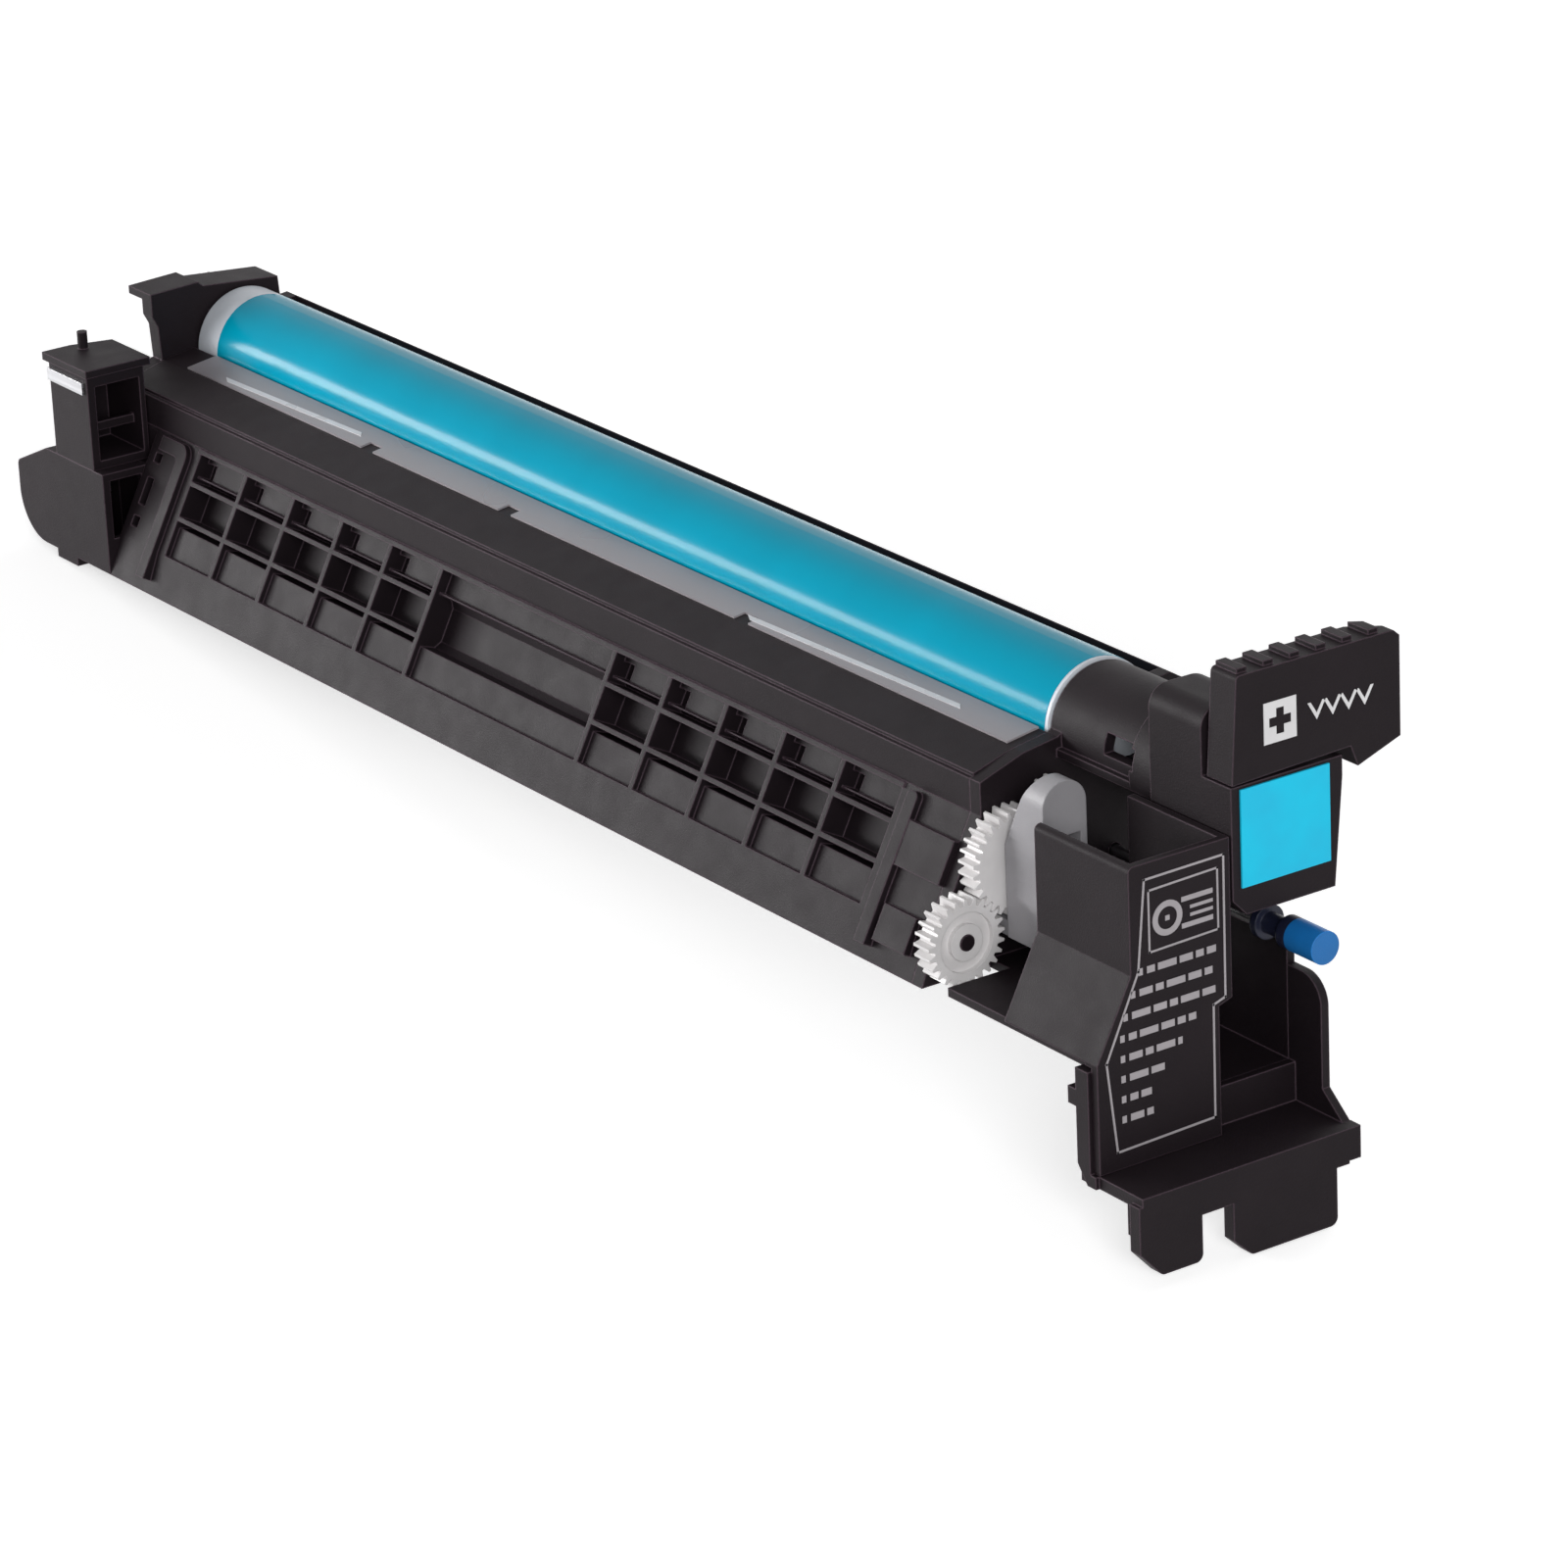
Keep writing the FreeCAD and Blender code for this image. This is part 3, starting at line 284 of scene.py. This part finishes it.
knob_blue = moulded("knob_blue", (0.01, 0.17, 0.50), 0.4, edge_wear_and_highlight=1.8)
materials = {
    # Edge factor of 11 paints bright highlight lines along the black plastic's edges
    "dark_plastic": moulded(
        "black_plastic", (0.0120, 0.0082, 0.0104), 0.54, edge=0.0006, edge_wear_and_highlight=11.0, specular=0.13
    ),
    "film": plain_surface("film_clear", (0.34, 0.31, 0.33), 0.30, scale=24.0),
    "steel": metal("sheet_steel", (0.60, 0.60, 0.62), 0.32),
    "aluminium": metal("sleeve_aluminium", (0.62, 0.63, 0.65), 0.45),
    "magnet": moulded("magnet_black", (0.05, 0.05, 0.055), 0.6),
    "screw_plastic": moulded("screw_plastic", (0.60, 0.60, 0.57), 0.45, edge_wear_and_highlight=1.05),
    "pale_gear": moulded(
        "gear_acetal", (0.80, 0.78, 0.78), 0.35, grain=0.1, edge=0.0002, edge_wear_and_highlight=1.1, specular=0.5
    ),
    "drum_coat": coated_drum("drum_coat", (0.0, 0.34, 0.50), 0.18),
    "collar": moulded("collar_plastic", (0.72, 0.76, 0.82), 0.4, grain=0.1, edge_wear_and_highlight=1.05),
    "bearing": moulded("bush_plastic", (0.06, 0.06, 0.065), 0.4),
    "badge": plain_surface("badge_cyan", (0.0, 0.66, 1.0), 0.5),
    "pale_grey": moulded("bracket_grey", (0.36, 0.35, 0.37), 0.45, edge_wear_and_highlight=1.3),
    "knob_blue": two_tone(knob_blue, KNOB_SPLIT, KNOB_NECK),
    "blade_rubber": moulded("blade_rubber", (0.30, 0.19, 0.09), 0.55),
    "pad_foam": moulded("pad_foam", (0.10, 0.10, 0.10), 0.85, grain=1.0),
}
white_print = plain_surface("white_print", (0.86, 0.85, 0.86))
pale_print = plain_surface("pale_print", (0.42, 0.39, 0.41))
# Pale colour laid on the seal film as strips: a painted reflection of the lamps on the bent film
reflection_paint = plain_surface("painted_reflection", (0.80, 0.79, 0.82), 0.3)

slot_of = {entry["node"]: entry["material_slot"] for entry in frame["record"]["subparts"]}
for node_name, node in nodes.items():
    node.data.materials.clear()
    node.data.materials.append(materials[slot_of[node_name]])


# Printed marks, and pale strips of painted reflection on the film


def extruded(name, outlines, place, depth, material, body):
    """Flat outlines made thick: place(u, v, w) gives the point at a height w over their plane."""
    bm = bmesh.new()
    for outline in outlines:
        front = [bm.verts.new(place(u, v, depth)) for u, v in outline]
        back = [bm.verts.new(place(u, v, 0.0)) for u, v in outline]
        bm.faces.new(front)
        bm.faces.new(back[::-1])
        count = len(outline)
        for i in range(count):
            j = (i + 1) % count
            bm.faces.new((front[i], back[i], back[j], front[j]))
    bmesh.ops.recalc_face_normals(bm, faces=bm.faces)
    mesh = bpy.data.meshes.new(name)
    bm.to_mesh(mesh)
    bm.free()
    mesh.materials.append(material)
    piece = bpy.data.objects.new(name, mesh)
    bpy.context.scene.collection.objects.link(piece)
    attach(piece, body)


def on_panel(u, v, w):
    """Point at a height w over the front panel."""
    return spot(u, PANEL - w, v)


def on_film(u, v, w):
    """Point at a height w over the seal film, u up its slope and v along the cartridge."""
    along = (FILM_HIGH - FILM_LOW).normalized()
    normal = Vector((-along.y, along.x))
    point = FILM_LOW + along * u + normal * (FILM_THICKNESS + w)
    return spot(point.x, v, point.y)


def front_print(name, outlines, material, body):
    """Print on the front panel."""
    extruded(name, outlines, on_panel, PRINT, material, body)


def rectangle(u0, u1, v0, v1):
    """Corners of an upright rectangle."""
    return [(u0, v0), (u1, v0), (u1, v1), (u0, v1)]


def line_loop(corners, width):
    """Closed line of straight runs, each a rectangle that overlaps the next at the corner."""
    runs = []
    count = len(corners)
    for i in range(count):
        a = Vector(corners[i])
        b = Vector(corners[(i + 1) % count])
        along = (b - a).normalized() * width / 2
        side = Vector((-along.y, along.x))
        start, end = a - along, b + along
        runs.append([tuple(start + side), tuple(start - side), tuple(end - side), tuple(end + side)])
    return runs


def ring(centre, outer, inner, steps):
    """Segments of a flat ring."""
    u, v = centre
    segments = []
    for k in range(steps):
        a = radians(360.0 * k / steps)
        b = radians(360.0 * (k + 1) / steps)
        segments.append([
            (u + inner * cos(a), v + inner * sin(a)), (u + outer * cos(a), v + outer * sin(a)),
            (u + outer * cos(b), v + outer * sin(b)), (u + inner * cos(b), v + inner * sin(b)),
        ])
    return segments


def grip_marks():
    """White field with a plain cross, and chevrons that point the way the grip is pressed."""
    u0, u1, v0, v1 = 48.8, 58.1, 91.1, 101.0
    middle_u, middle_v = (u0 + u1) / 2, (v0 + v1) / 2
    arm, reach = 1.1, 3.1
    field = [
        rectangle(u0, middle_u - reach, v0, v1),
        rectangle(middle_u + reach, u1, v0, v1),
        rectangle(middle_u - reach, middle_u + reach, v0, middle_v - reach),
        rectangle(middle_u - reach, middle_u + reach, middle_v + reach, v1),
    ]
    for side_u in (-1, 1):
        for side_v in (-1, 1):
            us = sorted((middle_u + side_u * arm, middle_u + side_u * reach))
            vs = sorted((middle_v + side_v * arm, middle_v + side_v * reach))
            field.append(rectangle(us[0], us[1], vs[0], vs[1]))
    front_print("grip_symbol", field, white_print, "lever")

    first, pitch, count = 62.2, 4.6, 4
    top, inside, tip = 98.0, 95.2, 93.6
    half, stroke = 1.7, 0.9
    chevrons = []
    for k in range(count):
        left = first + pitch * k
        middle, right = left + half, left + 2 * half
        chevrons.append([(left, top), (middle, inside), (middle, tip), (left - stroke, top)])
        chevrons.append([(right, top), (right + stroke, top), (middle, tip), (middle, inside)])
    front_print("grip_chevrons", chevrons, white_print, "lever")


def label_bars():
    """Rows of short bars down the label's slanted left edge, each led by a bullet."""
    first_row, pitch, height = 45.6, 4.9, 1.7
    knee, knee_left, slant, least_left = 46.6, 12.6, 0.46, 6.6
    bullet, first_bar, gap = 1.2, 2.4, 0.9
    short_bar, longer = 2.2, 1.5
    bars = []
    for row, right in enumerate((34.0, 34.2, 33.6, 28.0, 24.0, 20.4, 15.0, 15.4)):
        v = first_row - pitch * row
        left = max(knee_left - max(0.0, knee - v) * slant, least_left)
        bars.append(rectangle(left, left + bullet, v, v + height))
        start = left + first_bar
        step = 0
        while start < right - 1.0:
            end = min(right, start + short_bar + longer * ((row + 2 * step) % 3))
            bars.append(rectangle(start, end, v, v + height))
            start = end + gap
            step += 1
    return bars


def label_marks():
    """Thin outline of the label's field, a plain pictogram and short bars in place of words."""
    field = [
        (14.3, 68.1), (36.6, 68.3), (36.4, 33.9), (33.0, 32.8),
        (32.8, 5.3), (5.1, 4.6), (2.6, 26.8), (12.1, 46.6),
    ]
    front_print("label_outline", line_loop(field, 0.55), pale_print, "frame")
    sign_frame = [(15.4, 50.4), (34.8, 50.8), (34.8, 65.6), (15.4, 65.2)]
    front_print("label_frame", line_loop(sign_frame, 0.5), pale_print, "frame")
    # Drum seen from its end, with sheets that leave it
    sign = ring((20.6, 57.4), 4.2, 2.7, 28)
    sign += [rectangle(24.6, 33.4, v, v + 1.2) for v in (60.0, 53.6)]
    sign += [rectangle(27.0, 33.4, v, v + 0.8) for v in (57.9, 56.0)]
    sign.append(rectangle(20.0, 21.2, 56.8, 58.0))
    front_print("label_drum_sign", sign, pale_print, "frame")
    front_print("label_bars", label_bars(), pale_print, "frame")


def reflection_strip(name, y0, u0, y1, u1):
    """Narrow pale strip that runs at a slant over the seal film, cut at an angle at its ends: a
    painted reflection of the light on the bent film.
    """
    cut_front, cut_rear = 2.0, 3.0
    outline = [(u0, y0), (u0 + REFLECTION_STRIP_WIDTH, y0 + cut_front), (u1 + REFLECTION_STRIP_WIDTH, y1), (u1, y1 - cut_rear)]
    extruded(name, [outline], on_film, REFLECTION_STRIP_THICKNESS, reflection_paint, "frame")


grip_marks()
label_marks()
# Two painted reflections on the seal film, as pale strips
reflection_strip("reflection_strip_front", 112.0, 4.2, 198.0, 1.9)
reflection_strip("reflection_strip_rear", 378.0, 4.2, 446.0, 1.9)


# Stage, light and camera


def seen_rays(tree):
    """One for rays from the eye, from gloss and through glass, zero for rays that carry light."""
    path = tree.nodes.new("ShaderNodeLightPath")
    seen = path.outputs["Is Camera Ray"]
    for kind in ("Is Glossy Ray", "Is Transmission Ray"):
        either = tree.nodes.new("ShaderNodeMath")
        either.operation = "MAXIMUM"
        tree.links.new(seen, either.inputs[0])
        tree.links.new(path.outputs[kind], either.inputs[1])
        seen = either.outputs[0]
    return seen


def seen_level(tree, hidden, seen, target):
    """Strength of a light source: one level where it is seen, another where it only lights."""
    level = tree.nodes.new("ShaderNodeMapRange")
    level.inputs["To Min"].default_value = hidden
    level.inputs["To Max"].default_value = seen
    tree.links.new(seen_rays(tree), level.inputs["Value"])
    tree.links.new(level.outputs["Result"], target)


def floor():
    """Pale floor under the foot and the rear cover, which it meets at a slight slope."""
    material, tree, shader = new_material("floor")
    shader.inputs["Base Color"].default_value = grey(0.90)
    shader.inputs["Roughness"].default_value = 0.9
    shader.inputs["Specular IOR Level"].default_value = 0.1
    glow = tree.nodes.new("ShaderNodeEmission")
    seen_level(tree, 0.0, FLOOR_GLOW, glow.inputs["Strength"])
    both = tree.nodes.new("ShaderNodeAddShader")
    tree.links.new(shader.outputs[0], both.inputs[0])
    tree.links.new(glow.outputs[0], both.inputs[1])
    tree.links.new(both.outputs[0], tree.nodes["Material Output"].inputs["Surface"])

    foot_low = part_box("front_foot")[0]
    cover_low, cover_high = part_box("rear_cover")
    front_y = foot_low.y + LEG_EDGE * MM
    rear_y = cover_high.y - COVER_ROUNDING * MM
    slope = atan((cover_low.z - foot_low.z) / (rear_y - front_y))
    bpy.ops.mesh.primitive_plane_add(size=FLOOR_SIZE)
    plane = bpy.context.object
    plane.name = "floor"
    plane.data.materials.append(material)
    place = Matrix.Translation((0.0, front_y, foot_low.z - FLOOR_GAP))
    plane.matrix_world = place @ Matrix.Rotation(slope, 4, "X")


def world():
    """White surroundings for the eye and for reflections, softer as light."""
    surroundings = bpy.data.worlds.new("studio")
    bpy.context.scene.world = surroundings
    surroundings.use_nodes = True
    tree = surroundings.node_tree
    background = tree.nodes["Background"]
    background.inputs["Color"].default_value = grey(1.0)
    seen_level(tree, WORLD_LIGHT, 1.0, background.inputs["Strength"])


def lamp(name, place, aim, size, watts):
    """Soft rectangular lamp, with its width and height in metres."""
    data = bpy.data.lights.new(name, "AREA")
    data.shape = "RECTANGLE"
    data.size, data.size_y = size
    data.energy = watts
    lamp_object = bpy.data.objects.new(name, data)
    bpy.context.scene.collection.objects.link(lamp_object)
    direction = Vector(aim) - Vector(place)
    turn = direction.to_track_quat("-Z", "Y").to_matrix().to_4x4()
    lamp_object.matrix_world = Matrix.Translation(place) @ turn


def camera():
    """Camera at the photograph's place, turn and lens."""
    data = bpy.data.cameras.new("camera")
    data.lens = CAMERA_LENS
    data.sensor_width = SENSOR_WIDTH
    data.clip_end = CAMERA_REACH
    eye = bpy.data.objects.new("camera", data)
    bpy.context.scene.collection.objects.link(eye)
    a, e, r = radians(CAMERA_AZIMUTH), radians(CAMERA_ELEVATION), radians(CAMERA_ROLL)
    back = Vector((sin(a) * cos(e), -cos(a) * cos(e), sin(e)))
    level_right = Vector((cos(a), sin(a), 0.0))
    level_up = back.cross(level_right)
    right = level_right * cos(r) + level_up * sin(r)
    up = level_up * cos(r) - level_right * sin(r)
    turn = Matrix((right, up, back)).transposed().to_4x4()
    eye.matrix_world = Matrix.Translation(spot(*CAMERA_PLACE)) @ turn
    bpy.context.scene.camera = eye


floor()
world()
lamp("key_rear_left", (-1.25, 1.35, 0.35), (0.0, 0.0, 0.06), (1.5, 0.28), 31.0)
lamp("fill_front", (-0.9, -1.9, 0.8), (0.0, 0.0, 0.08), (0.9, 0.7), 22.0)
lamp("top", (-0.2, 0.0, 1.8), (0.0, 0.0, 0.0), (1.2, 1.2), 1.8)
lamp("fill_right", (1.5, 0.3, 0.6), (0.0, 0.0, 0.06), (1.2, 0.8), 9.0)
camera()

bpy.context.scene.view_settings.view_transform = "Standard"
